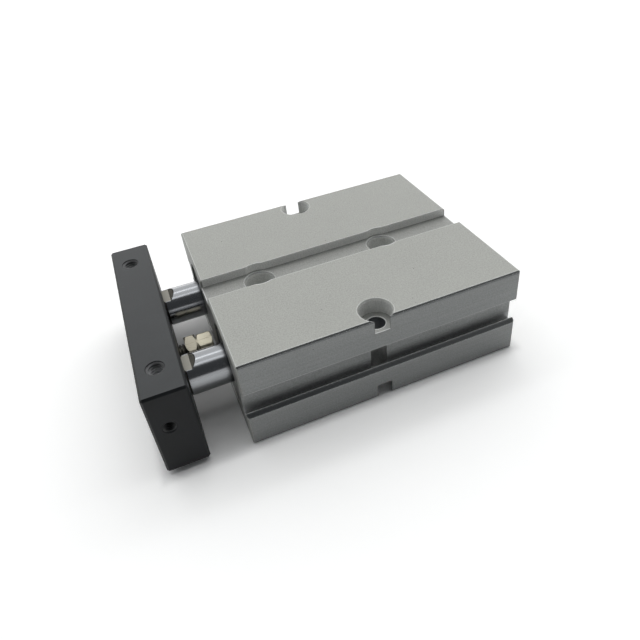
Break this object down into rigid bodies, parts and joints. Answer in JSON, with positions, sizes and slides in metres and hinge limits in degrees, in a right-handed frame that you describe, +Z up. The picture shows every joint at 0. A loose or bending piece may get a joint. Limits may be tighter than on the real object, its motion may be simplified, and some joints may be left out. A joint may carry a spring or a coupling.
{
  "type": "twin rod pneumatic cylinder",
  "caption": "Compact guided pneumatic cylinder: parallel chromed piston rods in a grooved aluminium block push a black front plate, with an adjustable stop bolt between the rods.",
  "frame": {"origin": "middle of the overall box at the level of the block's lower face, with the rods retracted", "axes": "+X along the rods from the front plate to the rear end, +Y to the left side with the air ports, +Z up through the fixing holes"},
  "size_m": [0.092, 0.062, 0.025],
  "materials": {
    "blasted_aluminium": "bead blasted and clear anodised extrusion",
    "black_anodised_plate": "black anodised, fine matt",
    "chromed_rod": "ground and hard chromed steel",
    "plated_stop_bolt": "turned steel, pale yellow zinc plating",
    "plated_lock_nut": "steel, pale zinc plating",
    "turned_cover": "turned and clear anodised",
    "bronze_bush": "sintered bronze, oiled",
    "nitrile_seal": "moulded nitrile rubber",
    "spring_steel_ring": "spring steel, phosphated",
    "urethane_bumper": "cast polyurethane",
    "turned_piston": "turned",
    "bonded_magnet": "plastic bonded ferrite",
    "acetal_wear_ring": "machined acetal",
    "steel_nut": "zinc plated steel",
    "black_screw": "black oxide alloy steel"
  },
  "bodies": {
    "cylinder": {"barrel_block": "blasted_aluminium", "front_cover_left": "turned_cover", "front_cover_right": "turned_cover", "rod_bush_left": "bronze_bush", "rod_bush_right": "bronze_bush", "rod_seal_left": "nitrile_seal", "rod_seal_right": "nitrile_seal", "front_cover_o_ring_left": "nitrile_seal", "front_cover_o_ring_right": "nitrile_seal", "front_snap_ring_left": "spring_steel_ring", "front_snap_ring_right": "spring_steel_ring", "front_bumper_left": "urethane_bumper", "front_bumper_right": "urethane_bumper", "rear_cover_left": "turned_cover", "rear_cover_right": "turned_cover", "rear_cover_o_ring_left": "nitrile_seal", "rear_cover_o_ring_right": "nitrile_seal", "rear_snap_ring_left": "spring_steel_ring", "rear_snap_ring_right": "spring_steel_ring", "rear_bumper_left": "urethane_bumper", "rear_bumper_right": "urethane_bumper"},
    "rod_carriage": {"front_plate": "black_anodised_plate", "piston_rod_left": "chromed_rod", "piston_rod_right": "chromed_rod", "piston_left": "turned_piston", "piston_right": "turned_piston", "piston_seal_left": "nitrile_seal", "piston_seal_right": "nitrile_seal", "piston_magnet_left": "bonded_magnet", "piston_magnet_right": "bonded_magnet", "wear_ring_left": "acetal_wear_ring", "wear_ring_right": "acetal_wear_ring", "piston_nut_left": "steel_nut", "piston_nut_right": "steel_nut", "plate_screw_left": "black_screw", "plate_screw_right": "black_screw"},
    "stop_bolt_set": {"stop_bolt": "plated_stop_bolt", "lock_nut": "plated_lock_nut"}
  },
  "joints": [
    {"name": "rod_slide", "type": "slide", "parent": "cylinder", "child": "rod_carriage", "axis": [-1, 0, 0], "range_m": [0, 0.02]},
    {"name": "stop_bolt_adjust", "type": "slide", "parent": "rod_carriage", "child": "stop_bolt_set", "axis": [1, 0, 0], "range_m": [-0.0016, 0.001]}
  ]
}
